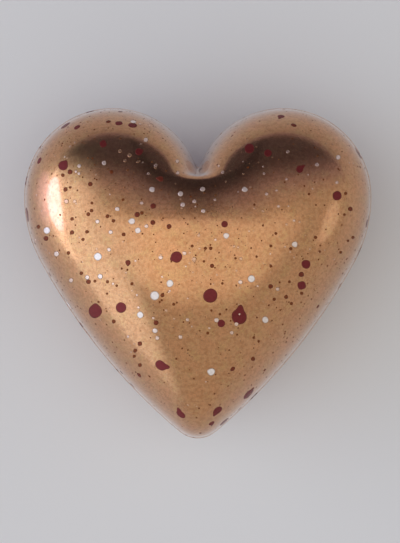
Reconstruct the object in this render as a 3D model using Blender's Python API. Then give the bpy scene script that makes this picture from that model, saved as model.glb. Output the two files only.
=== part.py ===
"""A moulded chocolate heart, lying on its back.

The heart is one puffed solid: two round lobes with a cleft between them, sides that run down to a
blunt point, and a fine seam all round where the two halves of the mould met. Its front looks up
(+Z), its point is at -Y, and it rests on a small flat on its back.

Units are metres. The origin is under the middle of the heart, on the surface that it lies on.
"""

import math

import bmesh
import bpy
import numpy as np
from mathutils import Matrix, Vector

MM = 0.001

# The outline, seen from the front. Each half is four arcs: one comes out of the cleft and over the
# lobe to the widest place, two run down the side, and the last rounds the point.
WIDTH = 105 * MM
LOBE_RADIUS = 26.6 * MM
SHOULDER_RADIUS = 40 * MM
SHOULDER_TURN = math.radians(28.5)
SIDE_RADIUS = 180 * MM
POINT_RADIUS = 8 * MM

# The puffed body. The crown is the thickest spot, on the front and on the back.
THICKNESS = 64 * MM
CROWN_DROP = 17 * MM  # from the widest line down to the crown
SEAM_BLUR = math.radians(1.4)  # softens the corners of the outline itself
CROWN_BLUR = math.radians(40)  # leaves no corners near the crown
BLUR_GROWTH = 6  # the higher, the sooner the cleft fades on its way from the seam to the crown
REST_SHAVE = 0.7 * MM  # taken off the back as the flat that the heart lies on
SEAM_HEIGHT = 0.3 * MM

# Fineness. The crowding draws segments towards the cleft and the point, and rings to the seam.
OUTLINE_STEPS = 1440
ARC_STEPS = 200
SEGMENTS = 88
RINGS = 48
SEGMENT_CROWDING = 0.35
RING_CROWDING = 1.35

GOLD_COLOUR = (0.52, 0.26, 0.12, 1.0)
GOLD_ROUGHNESS = 0.3
GOLD_METALLIC = 0.7

HALF_WIDTH = WIDTH / 2 - SEAM_HEIGHT
HALF_THICKNESS = THICKNESS / 2


def clear_scene():
    for item in list(bpy.data.objects):
        bpy.data.objects.remove(item, do_unlink=True)


def gold_lustre():
    """Chocolate under a coat of gold lustre."""
    material = bpy.data.materials.new("gold_lustre")
    material.use_nodes = True
    shader = material.node_tree.nodes["Principled BSDF"]
    shader.inputs["Base Color"].default_value = GOLD_COLOUR
    shader.inputs["Roughness"].default_value = GOLD_ROUGHNESS
    shader.inputs["Metallic"].default_value = GOLD_METALLIC
    return material


def outline_arcs():
    """The right half's arcs, from the cleft to the point: centre x and y, radius, and two angles."""
    lobe_x = HALF_WIDTH - LOBE_RADIUS
    cleft_turn = math.pi - math.acos(lobe_x / LOBE_RADIUS)
    shoulder_x = HALF_WIDTH - SHOULDER_RADIUS
    # The long arc goes on where the shoulder ends, in the same direction, and so does the point.
    side_x = shoulder_x - (SIDE_RADIUS - SHOULDER_RADIUS) * math.cos(SHOULDER_TURN)
    side_y = (SIDE_RADIUS - SHOULDER_RADIUS) * math.sin(SHOULDER_TURN)
    point_turn = math.acos(-side_x / (SIDE_RADIUS - POINT_RADIUS))
    point_y = side_y - (SIDE_RADIUS - POINT_RADIUS) * math.sin(point_turn)
    return (
        (lobe_x, 0, LOBE_RADIUS, cleft_turn, 0),
        (shoulder_x, 0, SHOULDER_RADIUS, 0, -SHOULDER_TURN),
        (side_x, side_y, SIDE_RADIUS, -SHOULDER_TURN, -point_turn),
        (0, point_y, POINT_RADIUS, -point_turn, -math.pi / 2),
    )


def outline_waves():
    """The outline's reach from the crown as Fourier waves of the angle, counted from +X."""
    x = []
    y = []
    for centre_x, centre_y, radius, first, last in outline_arcs():
        turn = np.linspace(first, last, ARC_STEPS)
        x.extend(centre_x + radius * np.cos(turn))
        y.extend(centre_y + radius * np.sin(turn) + CROWN_DROP)
    angle = np.arctan2(y, x)[::-1]
    reach = np.hypot(x, y)[::-1]
    around = np.linspace(0, 2 * math.pi, OUTLINE_STEPS, endpoint=False)
    # Both halves read the same arcs, by the angle above or below the level.
    above_level = np.arcsin(np.sin(around))
    return np.fft.rfft(np.interp(above_level, angle, reach))


def ring_reach(waves, blur, angle):
    """The reach at these angles, with the outline's corners blurred by an angle."""
    strength = np.exp(-((np.arange(len(waves)) * blur) ** 2) / 2)
    reach = np.fft.irfft(waves * strength, OUTLINE_STEPS)
    around = np.linspace(0, 2 * math.pi, OUTLINE_STEPS, endpoint=False)
    return np.interp(angle, around, reach, period=2 * math.pi)


def ring_blur(size):
    """The blur of a ring of this size: 1 is the seam, and 0 is the crown."""
    return 1 / (1 / CROWN_BLUR + size**BLUR_GROWTH / SEAM_BLUR)


def heart_points(sphere):
    """Where each point of a unit sphere goes on the heart. The sphere's equator is the seam."""
    waves = outline_waves()
    angle = np.arctan2(sphere[:, 1], sphere[:, 0])
    angle = angle + SEGMENT_CROWDING * np.sin(2 * angle) / 2
    level = np.arcsin(np.clip(sphere[:, 2], -1, 1)) / (math.pi / 2)
    climb = np.sign(level) * np.abs(level) ** RING_CROWDING * math.pi / 2
    climb = np.round(climb, 5)
    placed = np.zeros_like(sphere)
    for height in np.unique(climb):
        ring = climb == height
        size = max(math.cos(height), MM)
        # The cleft widens and fades towards the crown, as the blur grows on the smaller rings.
        reach = size * ring_reach(waves, ring_blur(size), angle[ring])
        if height == 0:
            reach = reach + SEAM_HEIGHT
        placed[ring, 0] = reach * np.cos(angle[ring])
        placed[ring, 1] = reach * np.sin(angle[ring]) - CROWN_DROP
        placed[ring, 2] = HALF_THICKNESS * math.sin(height)
    return placed


def cut_rest_flat(shape):
    """Shaves the back to the flat that the heart lies on, and closes it."""
    everything = shape.verts[:] + shape.edges[:] + shape.faces[:]
    level = Vector((0, 0, REST_SHAVE - HALF_THICKNESS))
    bmesh.ops.bisect_plane(shape, geom=everything, plane_co=level, plane_no=(0, 0, -1), clear_outer=True)
    bmesh.ops.holes_fill(shape, edges=[edge for edge in shape.edges if edge.is_boundary])


def centre_on_flat(shape):
    """Puts the flat on z = 0 and the middle of the heart's box on the Z axis."""
    places = np.array([corner.co for corner in shape.verts])
    low = places.min(axis=0)
    high = places.max(axis=0)
    shift = Vector((-(low[0] + high[0]) / 2, -(low[1] + high[1]) / 2, -low[2]))
    bmesh.ops.transform(shape, matrix=Matrix.Translation(shift), verts=shape.verts)


def make_heart(group):
    shape = bmesh.new()
    bmesh.ops.create_uvsphere(shape, u_segments=SEGMENTS, v_segments=RINGS, radius=1)
    sphere = np.array([corner.co for corner in shape.verts])
    for corner, place in zip(shape.verts, heart_points(sphere)):
        corner.co = place
    cut_rest_flat(shape)
    centre_on_flat(shape)
    mesh = bpy.data.meshes.new("heart")
    shape.to_mesh(mesh)
    shape.free()
    mesh.materials.append(gold_lustre())
    mesh.shade_smooth()
    heart = bpy.data.objects.new("heart", mesh)
    group.objects.link(heart)


def main():
    clear_scene()
    group = bpy.data.collections.new("chocolate_heart")
    bpy.context.scene.collection.children.link(group)
    make_heart(group)


main()
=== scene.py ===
# %% [markdown]
# # A gold chocolate heart, splashed with berry and cream
#
# The real sweet is cast in a polished two-part mould. Drops of coloured cocoa butter are flicked
# into the mould first, so they end up flush with the chocolate, and a coat of gold lustre gives it
# its metal gleam. This lesson builds the heart from a plain sphere, lays the drops on it one by
# one, and gives each finish a procedural material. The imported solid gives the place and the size.

# %% Load the frame
import math
import random

import bmesh
import bpy
import numpy as np
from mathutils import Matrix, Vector, noise
from mathutils.bvhtree import BVHTree


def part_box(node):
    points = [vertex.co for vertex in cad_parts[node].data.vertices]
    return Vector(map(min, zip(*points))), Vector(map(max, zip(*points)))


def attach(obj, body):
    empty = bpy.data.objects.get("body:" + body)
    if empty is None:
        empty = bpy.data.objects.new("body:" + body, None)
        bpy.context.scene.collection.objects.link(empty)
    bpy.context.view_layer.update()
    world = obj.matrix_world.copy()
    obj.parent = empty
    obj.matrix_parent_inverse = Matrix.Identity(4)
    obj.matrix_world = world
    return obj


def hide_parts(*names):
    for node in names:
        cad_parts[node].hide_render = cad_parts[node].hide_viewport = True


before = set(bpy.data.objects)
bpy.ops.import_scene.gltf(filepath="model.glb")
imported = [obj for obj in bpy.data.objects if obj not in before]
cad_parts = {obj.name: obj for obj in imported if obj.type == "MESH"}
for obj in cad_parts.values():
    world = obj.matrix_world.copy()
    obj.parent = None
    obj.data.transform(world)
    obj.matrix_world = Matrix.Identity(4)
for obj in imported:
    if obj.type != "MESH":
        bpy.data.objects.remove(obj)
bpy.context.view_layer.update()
MM = 0.001
heart_low, heart_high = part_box("heart")
print("the solid heart is", [round(side / MM, 1) for side in heart_high - heart_low], "mm")

# %% [markdown]
# ## The outline
#
# A heart's outline could be traced point by point, but four arcs describe each half better: one
# comes out of the cleft and over the lobe, two run down the side, a tight one and then a wide one,
# and the last rounds the point. The solid's box says where the widest line lies.

# %% The outline's sizes
SEAM_HEIGHT = 0.3 * MM
REST_SHAVE = 0.7 * MM
HALF_WIDTH = 52.2 * MM
HALF_THICKNESS = 32 * MM
LOBE_RADIUS = 26.6 * MM
SHOULDER_RADIUS = 40 * MM
SHOULDER_TURN = math.radians(28.5)
SIDE_RADIUS = 180 * MM
POINT_RADIUS = 8 * MM
CROWN_DROP = 17 * MM
OUTLINE_STEPS = 1440
ARC_STEPS = 200

widest_y = heart_high.y - LOBE_RADIUS - SEAM_HEIGHT
seam_z = HALF_THICKNESS - REST_SHAVE
CROWN = Vector((0, widest_y - CROWN_DROP, seam_z))
print("the crown is over", [round(place / MM, 1) for place in CROWN], "mm")

# %% Four arcs
def outline_arcs():
    """The right half's arcs, from the cleft to the point: centre x and y, radius, and two angles."""
    lobe_x = HALF_WIDTH - LOBE_RADIUS
    cleft_turn = math.pi - math.acos(lobe_x / LOBE_RADIUS)
    shoulder_x = HALF_WIDTH - SHOULDER_RADIUS
    side_x = shoulder_x - (SIDE_RADIUS - SHOULDER_RADIUS) * math.cos(SHOULDER_TURN)
    side_y = (SIDE_RADIUS - SHOULDER_RADIUS) * math.sin(SHOULDER_TURN)
    point_turn = math.acos(-side_x / (SIDE_RADIUS - POINT_RADIUS))
    point_y = side_y - (SIDE_RADIUS - POINT_RADIUS) * math.sin(point_turn)
    return (
        (lobe_x, 0, LOBE_RADIUS, cleft_turn, 0),
        (shoulder_x, 0, SHOULDER_RADIUS, 0, -SHOULDER_TURN),
        (side_x, side_y, SIDE_RADIUS, -SHOULDER_TURN, -point_turn),
        (0, point_y, POINT_RADIUS, -point_turn, -math.pi / 2),
    )


# %% [markdown]
# ## From outline to puffed form
#
# Seen from the crown, the thickest spot, the outline is a reach that changes with the angle. Kept
# as waves, it can be blurred by any amount: hardly at all for the seam, where cleft and point are
# crisp, and more and more for the rings above it, so that the cleft runs out on the front as it
# does on the real heart.

# %% Reach and blur
SEAM_BLUR = math.radians(1.4)
CROWN_BLUR = math.radians(40)
BLUR_GROWTH = 6


def outline_waves():
    """The outline's reach from the crown as Fourier waves of the angle, counted from +X."""
    x = []
    y = []
    for centre_x, centre_y, radius, first, last in outline_arcs():
        turn = np.linspace(first, last, ARC_STEPS)
        x.extend(centre_x + radius * np.cos(turn))
        y.extend(centre_y + radius * np.sin(turn) + CROWN_DROP)
    angle = np.arctan2(y, x)[::-1]
    reach = np.hypot(x, y)[::-1]
    around = np.linspace(0, 2 * math.pi, OUTLINE_STEPS, endpoint=False)
    above_level = np.arcsin(np.sin(around))
    return np.fft.rfft(np.interp(above_level, angle, reach))


def ring_reach(waves, blur, angle):
    """The reach at these angles, with the outline's corners blurred by an angle."""
    strength = np.exp(-((np.arange(len(waves)) * blur) ** 2) / 2)
    reach = np.fft.irfft(waves * strength, OUTLINE_STEPS)
    around = np.linspace(0, 2 * math.pi, OUTLINE_STEPS, endpoint=False)
    return np.interp(angle, around, reach, period=2 * math.pi)


def ring_blur(size):
    """The blur of a ring of this size: 1 is the seam, and 0 is the crown."""
    return 1 / (1 / CROWN_BLUR + size**BLUR_GROWTH / SEAM_BLUR)


# %% [markdown]
# ## The heart's mesh
#
# A subdivided cage would drift from the outline, and a sculpt could not be repeated. A UV sphere
# whose points are moved by a rule keeps an even grid with its equator on the seam. The moves also
# give the seam its fine bead and the surface the faint swell of chocolate that shrank in its mould.
#
# The drops will be laid on this mesh by asking for its nearest face. A sphere's faces come in
# another order in each run, so a sorted copy of them is kept for that. Otherwise a drop that lands
# right on an edge could follow the one face now and the other next time.

# %% Move a sphere's points onto the heart
SEGMENTS = 384
RINGS = 192
SEGMENT_CROWDING = 0.35
RING_CROWDING = 1.35
SEAM_WIDTH = 0.55 * MM
SWELL = 0.02 * MM
SWELL_LENGTH = 14 * MM


def heart_points(sphere):
    """Where each point of a unit sphere goes, counted from the crown at the seam's level."""
    waves = outline_waves()
    angle = np.arctan2(sphere[:, 1], sphere[:, 0])
    angle = angle + SEGMENT_CROWDING * np.sin(2 * angle) / 2
    level = np.arcsin(np.clip(sphere[:, 2], -1, 1)) / (math.pi / 2)
    climb = np.sign(level) * np.abs(level) ** RING_CROWDING * math.pi / 2
    climb = np.round(climb, 5)
    placed = np.zeros_like(sphere)
    for height in np.unique(climb):
        ring = climb == height
        size = max(math.cos(height), MM)
        z = HALF_THICKNESS * math.sin(height)
        bead = SEAM_HEIGHT * math.exp(-((z / SEAM_WIDTH) ** 2))
        reach = size * ring_reach(waves, ring_blur(size), angle[ring]) + bead
        placed[ring, 0] = reach * np.cos(angle[ring])
        placed[ring, 1] = reach * np.sin(angle[ring])
        placed[ring, 2] = z
    return placed


# %% Shape the heart and shave its back
def swell_surface(shape):
    """Lifts and sinks the points by hundredths of a millimetre, in a slow random swell."""
    shape.normal_update()
    for corner in shape.verts:
        lift = noise.noise(corner.co / SWELL_LENGTH) * SWELL
        corner.co = corner.co + corner.normal * lift


def ordered_faces(shape):
    """The faces as rows of point numbers, in an order that is the same in each run."""
    shape.verts.index_update()
    rows = []
    for face in shape.faces:
        row = [corner.index for corner in face.verts]
        first = row.index(min(row))
        rows.append(row[first:] + row[:first])
    return sorted(rows)


heart_shape = bmesh.new()
bmesh.ops.create_uvsphere(heart_shape, u_segments=SEGMENTS, v_segments=RINGS, radius=1)
sphere_points = np.array([corner.co for corner in heart_shape.verts])
for corner, place in zip(heart_shape.verts, heart_points(sphere_points)):
    corner.co = Vector(place) + CROWN
swell_surface(heart_shape)
everything = heart_shape.verts[:] + heart_shape.edges[:] + heart_shape.faces[:]
bmesh.ops.bisect_plane(heart_shape, geom=everything, plane_no=(0, 0, -1), clear_outer=True)
heart_shape.normal_update()
spots = [(corner.co.copy(), corner.normal.copy()) for corner in heart_shape.verts]
areas = [sum(face.calc_area() for face in corner.link_faces) for corner in heart_shape.verts]
area_so_far = list(np.cumsum(areas))
bmesh.ops.holes_fill(heart_shape, edges=[edge for edge in heart_shape.edges if edge.is_boundary])
heart_shape.normal_update()
heart_places = [corner.co.copy() for corner in heart_shape.verts]
heart_surface = BVHTree.FromPolygons(heart_places, ordered_faces(heart_shape))
surface_area = sum(face.calc_area() for face in heart_shape.faces)
print("the heart's surface measures", round(surface_area / MM**2), "square millimetres")

# %% Make it a piece of the part
def finish_piece(name, shape):
    """Makes a smooth-shaded object from a bmesh and rides it on the heart's body."""
    mesh = bpy.data.meshes.new(name)
    shape.to_mesh(mesh)
    shape.free()
    mesh.shade_smooth()
    piece = bpy.data.objects.new(name, mesh)
    bpy.context.scene.collection.objects.link(piece)
    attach(piece, "root")
    return piece


heart = finish_piece("chocolate_heart", heart_shape)
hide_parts("heart")
print("the heart has", len(heart.data.polygons), "faces")

# %% [markdown]
# ## Node helpers
#
# Materials below are node graphs. A few small helpers keep them readable: one adds a node and fills
# its sockets, one does a step of arithmetic, one mixes colours, and one turns a value into a soft
# band between two limits. A Mix node has sockets of the same name for numbers and for colours, so
# its colours are reached by number.

# %% Helpers for materials
MIX_COLOUR_A = 6
MIX_COLOUR_B = 7
MIX_COLOUR_RESULT = 2
NOISE_LOW = 0.3
NOISE_HIGH = 0.7


def new_material(name):
    """A material with an empty slate but for its Principled shader. Returns both."""
    material = bpy.data.materials.new(name)
    material.use_nodes = True
    return material, material.node_tree.nodes["Principled BSDF"]


def add_node(material, kind, inputs=None, **settings):
    """Adds a node. An input is a plain value, or an output socket to link from."""
    made = material.node_tree.nodes.new(kind)
    for name, value in settings.items():
        setattr(made, name, value)
    for name, value in (inputs or {}).items():
        if isinstance(value, bpy.types.NodeSocket):
            material.node_tree.links.new(value, made.inputs[name])
        else:
            made.inputs[name].default_value = value
    return made


def calculate(material, operation, first, second):
    """One step of arithmetic, as a node. Each value is a number or an output socket."""
    made = add_node(material, "ShaderNodeMath", {0: first, 1: second}, operation=operation)
    return made.outputs["Value"]


def blend_colours(material, share, first, second, mode="MIX"):
    """Mixes two colours by a share. Each is a colour or an output socket."""
    inputs = {0: share, MIX_COLOUR_A: first, MIX_COLOUR_B: second}
    made = add_node(material, "ShaderNodeMix", inputs, data_type="RGBA", blend_type=mode)
    return made.outputs[MIX_COLOUR_RESULT]


def band(material, value, low, high, bottom=0.0, top=1.0):
    """Maps a value to between bottom and top, smoothly, as it goes from low to high."""
    inputs = {"Value": value, "From Min": low, "From Max": high, "To Min": bottom, "To Max": top}
    made = add_node(material, "ShaderNodeMapRange", inputs, interpolation_type="SMOOTHSTEP")
    return made.outputs["Result"]


def shade_colour(material, colour, value, bottom, top):
    """Darkens or lightens a colour by a noise value, to between two factors."""
    shade = band(material, value, NOISE_LOW, NOISE_HIGH, bottom, top)
    grey = add_node(material, "ShaderNodeCombineColor", {"Red": shade, "Green": shade, "Blue": shade})
    return blend_colours(material, 1.0, colour, grey.outputs["Color"], "MULTIPLY")


# %% [markdown]
# ## Gold lustre over chocolate
#
# Lustre is fine mica brushed on thin. Close up it is never one colour: it drifts between copper,
# gold and olive over a few millimetres, turns amber where it is thin, glitters grain by grain, and
# leaves pinpricks of brown where the brush missed. A metallic base under a thin clear coat gives
# its sheen. Noise at three scales gives the drift, the thin places and the grain, and the cells of
# a Voronoi texture give the pinpricks, of which only some are chosen.

# %% Gold lustre
GOLD = (0.58, 0.278, 0.113, 1)
COPPER = (0.585, 0.262, 0.104, 1)
OLIVE_GOLD = (0.555, 0.283, 0.106, 1)
AMBER = (0.555, 0.242, 0.086, 1)
BARE_CHOCOLATE = (0.26, 0.10, 0.038, 1)
DRIFT_SCALE = 260
MOTTLE_SCALE = 950
GRAIN_SCALE = 4200
PINPRICK_SCALE = 700
SMOOTHEST = 0.13
ROUGHEST = 0.19


def gold_lustre():
    """Gold lustre over chocolate."""
    material, shader = new_material("gold_lustre")
    place = add_node(material, "ShaderNodeTexCoord").outputs["Object"]
    drift_inputs = {"Vector": place, "Scale": DRIFT_SCALE, "Detail": 3}
    drift = add_node(material, "ShaderNodeTexNoise", drift_inputs)
    warm = band(material, drift.outputs["Fac"], 0.48, 0.66)
    cool = band(material, drift.outputs["Fac"], 0.50, 0.34)
    colour = blend_colours(material, warm, GOLD, COPPER)
    colour = blend_colours(material, cool, colour, OLIVE_GOLD)
    mottle_inputs = {"Vector": place, "Scale": MOTTLE_SCALE, "Detail": 2}
    mottle = add_node(material, "ShaderNodeTexNoise", mottle_inputs)
    thin = band(material, mottle.outputs["Fac"], 0.52, 0.36)
    colour = blend_colours(material, thin, colour, AMBER)
    colour = shade_colour(material, colour, mottle.outputs["Fac"], 0.93, 1.10)
    grain_inputs = {"Vector": place, "Scale": GRAIN_SCALE, "Detail": 1}
    grain = add_node(material, "ShaderNodeTexNoise", grain_inputs)
    colour = shade_colour(material, colour, grain.outputs["Fac"], 0.86, 1.13)
    cells = add_node(material, "ShaderNodeTexVoronoi", {"Vector": place, "Scale": PINPRICK_SCALE})
    spot = band(material, cells.outputs["Distance"], 0.17, 0.09)
    pick = add_node(material, "ShaderNodeSeparateColor", {"Color": cells.outputs["Color"]})
    chosen = band(material, pick.outputs["Red"], 0.72, 0.76)
    missed = calculate(material, "MULTIPLY", spot, chosen)
    colour = blend_colours(material, missed, colour, BARE_CHOCOLATE)
    material.node_tree.links.new(colour, shader.inputs["Base Color"])
    rough = band(material, grain.outputs["Fac"], NOISE_LOW, NOISE_HIGH, SMOOTHEST, ROUGHEST)
    material.node_tree.links.new(rough, shader.inputs["Roughness"])
    bump_inputs = {"Height": grain.outputs["Fac"], "Strength": 0.05, "Distance": 0.05 * MM}
    bump = add_node(material, "ShaderNodeBump", bump_inputs)
    material.node_tree.links.new(bump.outputs["Normal"], shader.inputs["Normal"])
    shader.inputs["Metallic"].default_value = 1.0
    shader.inputs["Coat Weight"].default_value = 1.0
    shader.inputs["Coat Roughness"].default_value = 0.09
    shader.inputs["Sheen Weight"].default_value = 0.12
    shader.inputs["Sheen Roughness"].default_value = 0.5
    return material


heart.data.materials.append(gold_lustre())
print("the gold lustre has", len(heart.data.materials[0].node_tree.nodes), "nodes")

# %% [markdown]
# ## One drop
#
# A drop of cocoa butter is a thin disc, flush with the chocolate round it. Its outline is nearly
# round, may be drawn out to one side, and always wobbles a little. Each one starts as a tiny
# sphere. Its upper half is pressed flat just proud of the surface and its lower half is tucked
# under, point by point, so that it follows the curve. Each point keeps how near the drop's edge it
# is, and how big its drop is, for the materials. A small drop needs fewer faces than a large one.

# %% A drop's outline
TAIL_WIDTH = 0.36


def drop_outline(angle, tail, tail_angle, wobble):
    """A drop's reach at an angle, as a share of its radius."""
    away = math.remainder(angle - tail_angle, 2 * math.pi)
    reach = 1 + tail * math.exp(-((away / TAIL_WIDTH) ** 2))
    for count, (size, start) in enumerate(wobble, start=2):
        reach += size * math.cos(count * angle + start)
    return reach


# %% Lay a small sphere on the surface
BERRY_LIFT = 0.012 * MM
CREAM_LIFT = 0.024 * MM
LEAST_LIFT = 0.85
MOST_LIFT = 1.15
DROP_DEPTH = 0.08 * MM
FULL_BODY = 1.2 * MM
# Drops over this radius have so many segments, so many rings and so uneven an outline.
DROP_GRADES = ((0.85 * MM, 40, 8, 0.018), (0.3 * MM, 18, 4, 0.03), (0, 10, 4, 0.05))


def new_pool():
    """A bmesh that takes many drops, with room for what each point keeps."""
    pool = bmesh.new()
    pool.verts.layers.float.new("edge")
    pool.verts.layers.float.new("body")
    return pool


def lay_drop(pool, draw, lay_point, radius, lift, tail=0.0, tail_angle=0.0):
    """Adds one drop to a pool. The call lay_point(x, y) gives a surface point and its normal."""
    _, segments, rings, uneven = next(grade for grade in DROP_GRADES if radius > grade[0])
    wobble = [(draw.gauss(0, uneven), draw.uniform(0, 2 * math.pi)) for _ in range(3)]
    lift = lift * draw.uniform(LEAST_LIFT, MOST_LIFT)
    one = new_pool()
    edge = one.verts.layers.float["edge"]
    body = one.verts.layers.float["body"]
    bmesh.ops.create_uvsphere(one, u_segments=segments, v_segments=rings, radius=1)
    for corner in one.verts:
        spread = math.hypot(corner.co.x, corner.co.y)
        angle = math.atan2(corner.co.y, corner.co.x)
        reach = radius * spread * drop_outline(angle, tail, tail_angle, wobble)
        ground, up = lay_point(reach * math.cos(angle), reach * math.sin(angle))
        sink = max(0, -corner.co.z) * (DROP_DEPTH + lift)
        corner.co = ground + up * (lift - sink)
        corner[edge] = spread
        corner[body] = min(1, radius / FULL_BODY)
    mesh = bpy.data.meshes.new("one_drop")
    one.to_mesh(mesh)
    one.free()
    pool.from_mesh(mesh)
    bpy.data.meshes.remove(mesh)


# %% [markdown]
# ## Drops placed one by one
#
# The drops that anyone would remember are listed one by one, as they are seen from the front: so many
# millimetres right of the middle and above the widest line, then a radius, and for a drawn-out one
# the length and direction of its tail. Each point of such a drop lands where the eye's line of
# sight meets the heart. Near the rim, where that would smear the drop, it is laid on the slope.
# The big drops are noted, so that nothing is thrown onto them later.

# %% Where the eye is
EYE_DISTANCE = 1.045
FRAME_HEIGHT = 164.1 * MM
EYE_RIGHT = 0.67 * MM
EYE_DROP = 22.5 * MM
eye = Vector((EYE_RIGHT, widest_y - EYE_DROP, seam_z + EYE_DISTANCE))
print("the eye is", round(eye.z, 2), "metres up")


def seen_at(right, above):
    """The point that the eye sees at this place of the heart's middle plane, and its normal."""
    aim = Vector((right, widest_y + above, seam_z)) - eye
    point, normal, _, _ = heart_surface.ray_cast(eye, aim.normalized())
    return point, normal


def seen_near(right, above):
    """A lay_point call that follows the eye's lines of sight round a place of the middle plane."""

    def lay_point(x, y):
        return seen_at(right + x, above + y)

    return lay_point


def laid_near(spot, normal):
    """A lay_point call that wraps flat offsets round a spot of the surface."""
    across = normal.to_track_quat("Z", "Y").to_matrix()

    def lay_point(x, y):
        point, up, _, _ = heart_surface.find_nearest(spot + across @ Vector((x, y, 0)))
        return point, up

    return lay_point


# %% Place drops from a list
STEEP = 0.5
BIG_RADIUS = 0.8 * MM
big_drops = []


def place_drops(pool, draw, drops, lift):
    """Lays drops that are listed as they are seen from the front, and notes the big ones."""
    for right, above, radius, *tail in drops:
        length, turn = tail or (0.0, 0.0)
        spot, normal = seen_at(right * MM, above * MM)
        if normal.z < STEEP:
            lay_point = laid_near(spot, normal)
        else:
            lay_point = seen_near(right * MM, above * MM)
        lay_drop(pool, draw, lay_point, radius * MM, lift, length, math.radians(turn))
        if radius * MM > BIG_RADIUS:
            big_drops.append((spot, radius * MM))


# %% Berry drops to remember
BERRY_DROPS = (
    (3.8, -29.8, 2.15), (-31.0, -34.5, 2.05, 0.15, 90), (12.5, -36.2, 2.3, 0.65, 82),
    (-23.2, -33.4, 1.6), (-6.4, -18.1, 1.7, 0.3, 205), (-40.7, 9.5, 1.45, 0.35, 55),
    (-47.9, 11.0, 1.1), (32.7, -20.3, 1.35), (31.4, -26.7, 1.3), (31.3, -23.4, 0.8),
    (42.1, 0.4, 1.4), (7.1, -38.2, 1.15), (8.1, -8.2, 1.0), (-17.8, 13.7, 1.1, 0.3, 20),
    (-11.2, 5.5, 0.85, 0.9, 170), (15.6, 14.7, 1.5), (21.2, 13.3, 1.15), (30.8, 8.4, 1.1, 0.9, 40),
    (-28.6, 16.1, 1.1), (-13.5, -2.7, 0.85), (-13.6, -7.7, 0.75), (-8.7, -8.9, 0.75),
    (-18.3, -5.3, 0.8), (-16.9, -4.8, 0.55), (-21.1, -19.8, 0.8, 0.5, 270), (-12.6, -38.0, 0.75),
)
BERRY_DOTS = (
    (-38.6, 7.6, 0.75), (-40.8, 6.6, 0.55), (-40.0, 2.3, 0.65), (-38.6, 2.9, 0.4, 0.5, 30),
    (-32.5, 3.9, 0.7), (-26.1, 7.6, 0.6), (-32.0, -1.8, 0.45), (-32.1, -4.1, 0.55),
    (-33.1, -5.2, 0.6), (-27.3, -5.8, 0.6), (-25.5, -7.2, 0.55), (-38.0, -6.6, 0.55),
    (-38.0, -10.7, 0.65), (-33.5, -10.5, 0.55), (-34.7, -12.8, 0.5), (-45.9, -12.5, 0.75),
    (-48.2, -9.0, 0.6), (-39.1, -16.9, 0.55), (-22.6, -0.8, 0.45), (-22.4, -11.3, 0.6),
    (-1.7, -14.8, 0.45), (2.3, -15.5, 0.5), (3.9, -15.5, 0.55), (-21.3, -22.0, 0.35),
    (-23.0, -21.6, 0.35), (-35.2, -23.0, 0.55), (-33.0, -25.6, 0.7, 0.3, 170), (-31.1, -25.4, 0.45),
    (-27.3, -25.6, 0.5), (-24.5, -26.8, 0.4), (-19.9, -26.2, 0.5), (4.3, -20.8, 0.65),
    (7.4, -26.1, 0.4), (11.4, -18.5, 0.4), (-10.7, -29.7, 0.6, 0.5, 60), (-10.9, -31.2, 0.35),
    (-7.3, -32.4, 0.45), (-25.4, -37.6, 0.6), (-17.5, -44.3, 0.7), (-18.9, -46.4, 0.6),
    (-19.2, -48.1, 0.5), (-17.5, -50.8, 0.6), (-30.0, -31.7, 0.35), (-27.4, -29.2, 0.35),
    (4.1, -34.3, 0.35), (6.7, -35.4, 0.4), (22.0, -27.0, 0.7), (23.1, -30.9, 0.5),
    (26.7, -30.2, 0.6), (28.3, -32.2, 0.5), (31.4, -29.1, 0.5), (27.7, -25.6, 0.45),
    (28.1, -15.6, 0.5), (22.1, -14.8, 0.45), (23.6, -11.0, 0.45), (22.1, -20.9, 0.45, 0.6, 120),
    (35.6, -12.2, 0.5), (36.8, -16.5, 0.4), (43.2, -16.7, 0.45), (46.1, -3.6, 0.7),
    (44.7, 1.1, 0.5), (44.3, -5.3, 0.4), (45.4, -13.2, 0.4), (46.9, -12.2, 0.5),
    (36.3, -33.1, 0.65), (43.8, -23.1, 0.4), (16.7, -48.9, 0.65), (18.4, -43.6, 0.4),
    (16.9, -42.5, 0.4, 0.6, 60), (3.0, -41.1, 0.45), (17.1, -2.3, 0.35), (33.6, 0.9, 0.4),
)
print(len(BERRY_DROPS) + len(BERRY_DOTS), "berry drops are placed by hand")

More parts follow.
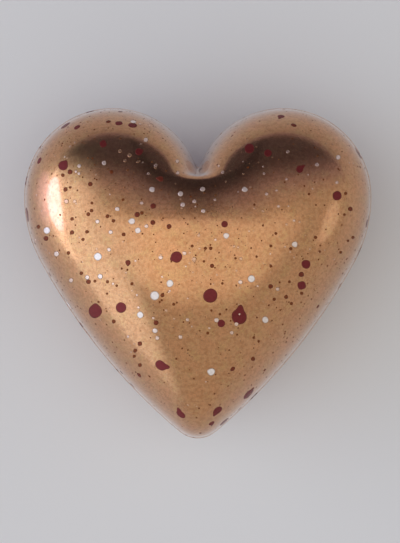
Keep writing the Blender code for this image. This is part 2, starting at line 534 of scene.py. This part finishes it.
# %% Cream drops to remember
CREAM_DROPS = (
    (-13.0, -29.8, 1.4), (-30.2, -18.0, 1.2), (-8.4, -26.1, 1.1), (16.2, -24.7, 1.1),
    (-17.4, -35.6, 1.0), (20.4, -37.1, 1.0), (-45.6, -10.1, 1.05), (8.6, -11.7, 0.9),
    (-13.8, 2.3, 0.85), (14.2, 2.3, 0.85), (1.5, 2.4, 0.75), (-5.2, 1.0, 0.8),
    (-19.9, -7.3, 0.95, 0.2, 180), (-18.1, -10.1, 0.9), (29.3, -14.3, 0.9), (-29.5, -24.0, 0.8),
    (-42.7, -17.2, 0.8), (-12.9, -40.4, 0.8), (5.7, -37.2, 0.7), (42.4, 12.0, 0.75),
)
CREAM_DOTS = (
    (-15.7, 17.3, 0.7), (-28.3, 10.3, 0.7), (-35.8, 9.4, 0.6), (-35.9, 7.1, 0.45),
    (-36.8, 7.7, 0.4), (-6.2, 10.8, 0.6), (-4.0, 13.1, 0.5), (-12.7, 9.6, 0.5),
    (-6.0, 7.3, 0.55), (-14.9, 7.1, 0.4), (6.3, 9.4, 0.4), (7.5, 7.5, 0.5),
    (20.0, 7.1, 0.4), (26.8, 5.4, 0.35), (27.2, 13.7, 0.5), (36.0, 9.8, 0.6),
    (42.0, 4.4, 0.5), (20.8, 0.9, 0.5), (23.8, 2.0, 0.35), (24.4, -2.8, 0.45),
    (-4.5, -2.3, 0.7), (-1.0, -1.3, 0.6), (1.7, -4.2, 0.65), (5.2, -0.8, 0.4),
    (-16.9, -1.8, 0.5), (-24.3, -3.6, 0.7), (-30.3, -7.4, 0.65), (-15.5, -8.8, 0.6),
    (-26.3, -10.6, 0.65), (-49.0, -12.9, 0.6), (-38.3, -25.2, 0.65), (-26.8, -15.9, 0.6),
    (-33.4, -24.3, 0.7), (-25.6, -26.2, 0.4), (-18.8, -19.3, 0.35), (-11.2, -18.3, 0.65),
    (-4.0, -17.0, 0.6), (-17.9, -33.4, 0.4), (-13.4, -36.6, 0.4), (-12.2, -42.6, 0.6),
    (-3.1, -37.1, 0.5), (-5.2, -42.3, 0.6), (12.9, -25.7, 0.65), (18.1, -26.9, 0.35),
    (24.1, -27.8, 0.55), (11.7, -38.4, 0.6), (10.3, -41.0, 0.55), (12.6, -35.4, 0.3),
    (-21.1, -42.2, 0.4), (29.1, -7.1, 0.4),
)
CREAM_VEILS = (
    (-39.7, -1.3, 0.75), (-37.2, -1.3, 0.55), (-1.1, -18.8, 0.7), (0.3, -11.6, 0.5, 0.9, 80),
    (11.0, -14.9, 0.4), (12.2, -15.2, 0.35), (13.0, -18.6, 0.5, 0.5, 300), (-9.5, -34.3, 0.45),
    (-7.1, -36.8, 0.35), (26.8, -8.3, 0.4), (-20.6, 12.6, 0.6), (-23.5, 13.9, 0.5),
    (-22.0, 11.0, 0.45), (-18.2, 10.6, 0.35, 1.8, 20), (-12.9, 8.9, 0.3, 1.6, 320),
)
print(len(CREAM_DROPS) + len(CREAM_DOTS) + len(CREAM_VEILS), "cream drops are placed by hand")

# %% [markdown]
# ## Drops by the hundred
#
# The rest fell as a loaded brush was flicked over the mould. Each flick is one centre with drops
# scattered about it, more of them small than large. The draw is seeded, so the heart comes out the
# same each time. On the front only fine drops are thrown, because the others are there already.

# %% Where a drop may fall
FLAT_CLEARANCE = 14 * MM
SHOWN_LOW = -50 * MM
SHOWN_HIGH = 19 * MM
SHOWN_FACING = 0.2
SHOWN_LIMIT = 0.38 * MM


def is_free(point, facing, radius):
    """Whether a drop of this radius may fall here."""
    on_flat = point.z < MM and math.hypot(point.x, point.y - CROWN.y) < FLAT_CLEARANCE
    above = point.y - widest_y
    is_shown = facing.z > SHOWN_FACING and SHOWN_LOW < above < SHOWN_HIGH
    on_drop = any((point - spot).length < size + radius for spot, size in big_drops)
    return not (on_flat or on_drop or (is_shown and radius > SHOWN_LIMIT))


# %% Flicks of the brush
TAIL_SHARE = 0.12
LEAST_TAIL = 0.3
MOST_TAIL = 0.9


def flick(pool, draw, drops, spread, radii, lift):
    """Throws some drops about a random centre. Radii are a least, a most and a bias to small."""
    centre, normal = draw.choices(spots, cum_weights=area_so_far)[0]
    across = normal.to_track_quat("Z", "Y").to_matrix()
    least, most, bias = radii
    for _ in range(drops):
        radius = (least + (most - least) * draw.random() ** bias) * MM
        aside = Vector((draw.gauss(0, spread), draw.gauss(0, spread), 0)) * MM
        point, facing, _, _ = heart_surface.find_nearest(centre + across @ aside)
        tail = draw.uniform(LEAST_TAIL, MOST_TAIL) if draw.random() < TAIL_SHARE else 0.0
        tail_angle = draw.uniform(0, 2 * math.pi)
        if is_free(point, facing, radius):
            lay_drop(pool, draw, laid_near(point, facing), radius, lift, tail, tail_angle)


def flick_often(flicks, pool, draw, drops, spread, radii, lift):
    """Flicks the brush so many times. Spread and radii are in millimetres."""
    for _ in range(flicks):
        flick(pool, draw, drops, spread, radii, lift)


# %% Berry drops
draw = random.Random(20)
berry_pool = new_pool()
place_drops(berry_pool, draw, BERRY_DROPS + BERRY_DOTS, BERRY_LIFT)
flick_often(80, berry_pool, draw, drops=5, spread=9, radii=(0.28, 2.2, 2.8), lift=BERRY_LIFT)
berry_drops = finish_piece("berry_drops", berry_pool)
print("berry drops:", len(berry_drops.data.polygons), "faces")

# %% Cream drops
draw = random.Random(31)
cream_pool = new_pool()
place_drops(cream_pool, draw, CREAM_DROPS + CREAM_DOTS, CREAM_LIFT)
flick_often(60, cream_pool, draw, drops=4, spread=9, radii=(0.24, 1.5, 2.4), lift=CREAM_LIFT)
cream_drops = finish_piece("cream_drops", cream_pool)
print("cream drops:", len(cream_drops.data.polygons), "faces")

# %% Fine specks and thin veils
draw = random.Random(47)
speck_pool = new_pool()
flick_often(170, speck_pool, draw, drops=9, spread=7, radii=(0.12, 0.32, 1.5), lift=BERRY_LIFT)
berry_specks = finish_piece("berry_specks", speck_pool)
veil_pool = new_pool()
place_drops(veil_pool, draw, CREAM_VEILS, CREAM_LIFT)
flick_often(60, veil_pool, draw, drops=5, spread=6, radii=(0.14, 0.45, 1.5), lift=CREAM_LIFT)
cream_veils = finish_piece("cream_veils", veil_pool)
print("specks:", len(berry_specks.data.polygons), "faces; veils:", len(cream_veils.data.polygons))

# %% [markdown]
# ## Coloured cocoa butter
#
# The drops are as smooth as the chocolate. A large one is opaque, wine red or white, and takes only
# part of the gold's gleam. The smaller a drop is, the more the gold shines through, which makes it
# browner or warmer and lets it dim and gleam with the gold. Cream drops are darker at their rims.
# The materials read the "edge" and "body" values that each point was given.

# %% Cocoa butter
SMALL_BODY = 0.3
LARGE_SHIMMER = 0.35
CLOUD_SCALE = 1400
BUTTER_ROUGHNESS = 0.25


def cocoa_butter(name, small, large, rim, rim_start, gloss, shimmer):
    """A cocoa butter whose colour goes by the drop's size and turns to another at its rim."""
    material, shader = new_material(name)
    place = add_node(material, "ShaderNodeTexCoord").outputs["Object"]
    edge = add_node(material, "ShaderNodeAttribute", attribute_name="edge").outputs["Fac"]
    body = add_node(material, "ShaderNodeAttribute", attribute_name="body").outputs["Fac"]
    colour = blend_colours(material, band(material, body, SMALL_BODY, 1.0), small, large)
    colour = blend_colours(material, band(material, edge, rim_start, 1.0), colour, rim)
    cloud_inputs = {"Vector": place, "Scale": CLOUD_SCALE, "Detail": 2}
    cloud = add_node(material, "ShaderNodeTexNoise", cloud_inputs)
    colour = shade_colour(material, colour, cloud.outputs["Fac"], 0.92, 1.08)
    material.node_tree.links.new(colour, shader.inputs["Base Color"])
    shine_through = band(material, body, SMALL_BODY, 1.0, shimmer, LARGE_SHIMMER)
    material.node_tree.links.new(shine_through, shader.inputs["Metallic"])
    shader.inputs["Roughness"].default_value = BUTTER_ROUGHNESS
    shader.inputs["Specular IOR Level"].default_value = gloss
    return material


# %% Berry, speck, cream and veil finishes
RUST = (0.21, 0.058, 0.014, 1)
WINE = (0.188, 0.027, 0.027, 1)
WINE_RIM = (0.18, 0.042, 0.026, 1)
SPECK = (0.22, 0.068, 0.020, 1)
SPECK_RIM = (0.34, 0.13, 0.045, 1)
MILK = (0.88, 0.58, 0.44, 1)
CREAM = (0.92, 0.82, 0.765, 1)
CREAM_RIM = (0.48, 0.33, 0.24, 1)
VEIL = (0.72, 0.43, 0.28, 1)
VEIL_RIM = (0.64, 0.34, 0.18, 1)
# Each finish has its piece, its colours when small, when large and at the rim, where the rim
# starts, its gloss, and how much gold shimmers through the smallest drops.
finishes = (
    (berry_drops, "berry_butter", RUST, WINE, WINE_RIM, 0.8, 0.14, 0.45),
    (berry_specks, "speck_butter", SPECK, SPECK, SPECK_RIM, 0.5, 0.2, 0.7),
    (cream_drops, "cream_butter", MILK, CREAM, CREAM_RIM, 0.68, 0.4, 0.9),
    (cream_veils, "veil_butter", VEIL, VEIL, VEIL_RIM, 0.4, 0.4, 0.95),
)
for piece, *finish in finishes:
    piece.data.materials.append(cocoa_butter(*finish))
    print(piece.name, "are of", piece.data.materials[0].name)

# %% [markdown]
# ## Floor, light and camera
#
# The heart lies on its back, so the camera looks straight down to see its front. A coat of lustre
# is nearly a mirror, so what counts is where each light stands and how bright its face is. Three
# soft lights with rounded faces stand low at the sides. The brightest, a cool window at the left,
# draws the streak down that side. The floor is satin, so it sends some of that light up under the
# rims.

# %% Floor
FLOOR_RADIUS = 4
FLOOR_COLOUR = (0.80, 0.785, 0.77, 1)
FLOOR_ROUGHNESS = 0.3
floor_shape = bmesh.new()
bmesh.ops.create_circle(floor_shape, cap_ends=True, segments=96, radius=FLOOR_RADIUS)
floor_mesh = bpy.data.meshes.new("floor")
floor_shape.to_mesh(floor_mesh)
floor_shape.free()
floor = bpy.data.objects.new("floor", floor_mesh)
bpy.context.scene.collection.objects.link(floor)
floor_material, floor_shader = new_material("floor")
floor_shader.inputs["Base Color"].default_value = FLOOR_COLOUR
floor_shader.inputs["Roughness"].default_value = FLOOR_ROUGHNESS
floor.data.materials.append(floor_material)
print("the floor is", 2 * FLOOR_RADIUS, "metres across")

# %% Lights
FACE_RIGHT = (math.pi / 2, 0, -math.pi / 2)
FACE_LEFT = (math.pi / 2, 0, math.pi / 2)


def soft_light(name, colour, place, turn, size, brightness):
    """A soft light with a rounded face. The brightness is its face's, whatever its size."""
    lamp = bpy.data.lights.new(name, "AREA")
    lamp.shape = "ELLIPSE"
    lamp.size, lamp.size_y = size
    lamp.color = colour
    face_area = math.pi / 4 * size[0] * size[1]
    lamp.energy = math.pi * face_area * brightness
    light = bpy.data.objects.new(name, lamp)
    light.location = place
    light.rotation_euler = turn
    bpy.context.scene.collection.objects.link(light)


WINDOW = (0.54, 0.51, 1.0)
SKYLIGHT = (0.82, 0.88, 1.0)
soft_light("left_window", WINDOW, (-1.2, 0.14, 0.19), FACE_RIGHT, size=(0.72, 0.40), brightness=3.9)
soft_light("left_glow", SKYLIGHT, (-1.2, 0.06, 0.15), FACE_RIGHT, size=(1.2, 0.34), brightness=0.65)
soft_light("right_strip", SKYLIGHT, (1.2, -0.08, 0.40), FACE_LEFT, size=(0.52, 0.38), brightness=0.4)
print("there are", len(bpy.data.lights), "lights")

# %% [markdown]
# ## The room round the heart
#
# The rest of the light comes from the world, which stands for a room. A panorama of a real room
# could do that, but a few bands over the direction are easier to steer. A direction has a part to
# the right, X, a part ahead, Y, and a part up, Z, each from -1 to 1. The walls are evenly lit on
# the near side and fade to dark beyond the lobes, most of all in the middle. The left wall is
# bright. A wide panel overhead gives the broad glow, and its crisp far edge crosses the heart below
# the cleft. A direction divided by its part up is a place on a ceiling one metre up, so the panel
# looks flat there, with edges that are straight but for a bow at the far corners.

# %% Walls
ROOM = 0.56
ROOM_DARK = 0.08
ROOM_FADE = (0.75, 0.18)
MIDDLE_SHADE = 0.52
MIDDLE_SPREAD = 0.06
MIDDLE_FADE = (0.43, 0.33)
HORIZON = 0.24
HORIZON_FADE = (0.14, 0.03)
LEFT_WALL = 0.85
LEFT_WALL_FADE = (-0.45, -0.85)
LEFT_WALL_END = (0.8, 0.3)


def plain_walls(world, way, across):
    """Walls that darken ahead, most of all in the middle, over a dim horizon all round."""
    walls = band(world, way["Y"], *ROOM_FADE, ROOM_DARK, ROOM)
    from_middle = calculate(world, "MULTIPLY", across, across)
    middle = band(world, from_middle, 0, MIDDLE_SPREAD, MIDDLE_SHADE, 1)
    middle = calculate(world, "MAXIMUM", middle, band(world, way["Y"], *MIDDLE_FADE))
    walls = calculate(world, "MULTIPLY", walls, middle)
    return calculate(world, "MAXIMUM", walls, band(world, way["Z"], *HORIZON_FADE, 0, HORIZON))


def left_wall(world, way):
    """A bright wall at the left that ends before it comes round to the front."""
    wall = band(world, way["X"], *LEFT_WALL_FADE, 0, LEFT_WALL)
    return calculate(world, "MULTIPLY", wall, band(world, way["Y"], *LEFT_WALL_END))


# %% Ceiling panel
PANEL = 0.42
PANEL_EDGE = 0.33
PANEL_EDGE_FADE = (0.02, -0.02)
PANEL_BOW = 0.85
PANEL_BOW_POWER = 4
PANEL_NEAR_FADE = (-0.65, -0.25)
PANEL_RIGHT_FADE = (1.3, 0.45)
PANEL_LEFT_FADE = (0.1, -0.4)
PANEL_LEFT_SHARE = 1.45


def ceiling_panel(world, across, ahead):
    """A panel over the heart. Its edge beyond the heart is crisp, and its other edges are soft."""
    bow = calculate(world, "DIVIDE", across, PANEL_BOW)
    bow = calculate(world, "POWER", bow, PANEL_BOW_POWER)
    edge = calculate(world, "DIVIDE", PANEL_EDGE, calculate(world, "ADD", bow, 1))
    beyond = calculate(world, "SUBTRACT", ahead, edge)
    panel = band(world, beyond, *PANEL_EDGE_FADE, 0, PANEL)
    panel = calculate(world, "MULTIPLY", panel, band(world, ahead, *PANEL_NEAR_FADE))
    panel = calculate(world, "MULTIPLY", panel, band(world, across, *PANEL_RIGHT_FADE))
    left = band(world, across, *PANEL_LEFT_FADE, 1, PANEL_LEFT_SHARE)
    return calculate(world, "MULTIPLY", panel, left)


# %% The whole room
LEAST_RISE = 0.05
BELOW_GROUND = 0.5
GROUND_FADE = (-0.02, 0.06)
LAMPLIGHT = (1.0, 0.99, 0.97, 1)
DUSK = (1.05, 0.94, 1.3, 1)
DUSK_FADE = (0.2, 0.6)
DAYLIGHT = (0.92, 1.04, 1.2, 1)
DAYLIGHT_FADE = (-0.3, -0.8)


def soft_room():
    """A world whose brightness and colour go by the direction."""
    world = bpy.data.worlds.new("studio")
    world.use_nodes = True
    direction = add_node(world, "ShaderNodeTexCoord").outputs["Generated"]
    way = add_node(world, "ShaderNodeSeparateXYZ", {"Vector": direction}).outputs
    rise = calculate(world, "MAXIMUM", way["Z"], LEAST_RISE)
    across = calculate(world, "DIVIDE", way["X"], rise)
    ahead = calculate(world, "DIVIDE", way["Y"], rise)
    panel = ceiling_panel(world, across, ahead)
    glow = calculate(world, "MAXIMUM", left_wall(world, way), panel)
    ground = band(world, way["Z"], *GROUND_FADE, BELOW_GROUND, 1)
    glow = calculate(world, "MULTIPLY", glow, ground)
    total = calculate(world, "ADD", plain_walls(world, way, across), glow)
    colour = blend_colours(world, band(world, way["Y"], *DUSK_FADE), LAMPLIGHT, DUSK)
    colour = blend_colours(world, band(world, way["X"], *DAYLIGHT_FADE), colour, DAYLIGHT)
    background = world.node_tree.nodes["Background"]
    world.node_tree.links.new(colour, background.inputs["Color"])
    world.node_tree.links.new(total, background.inputs["Strength"])
    return world


bpy.context.scene.world = soft_room()
bpy.context.scene.view_settings.view_transform = "Standard"
print("the room has", len(bpy.context.scene.world.node_tree.nodes), "nodes")

# %% Camera
camera_data = bpy.data.cameras.new("camera")
camera_data.lens = camera_data.sensor_width * EYE_DISTANCE / FRAME_HEIGHT
camera_data.clip_start = 0.01
camera_data.clip_end = 10
camera = bpy.data.objects.new("camera", camera_data)
camera.location = eye
bpy.context.scene.collection.objects.link(camera)
bpy.context.scene.camera = camera
print("the lens is", round(camera_data.lens), "mm")
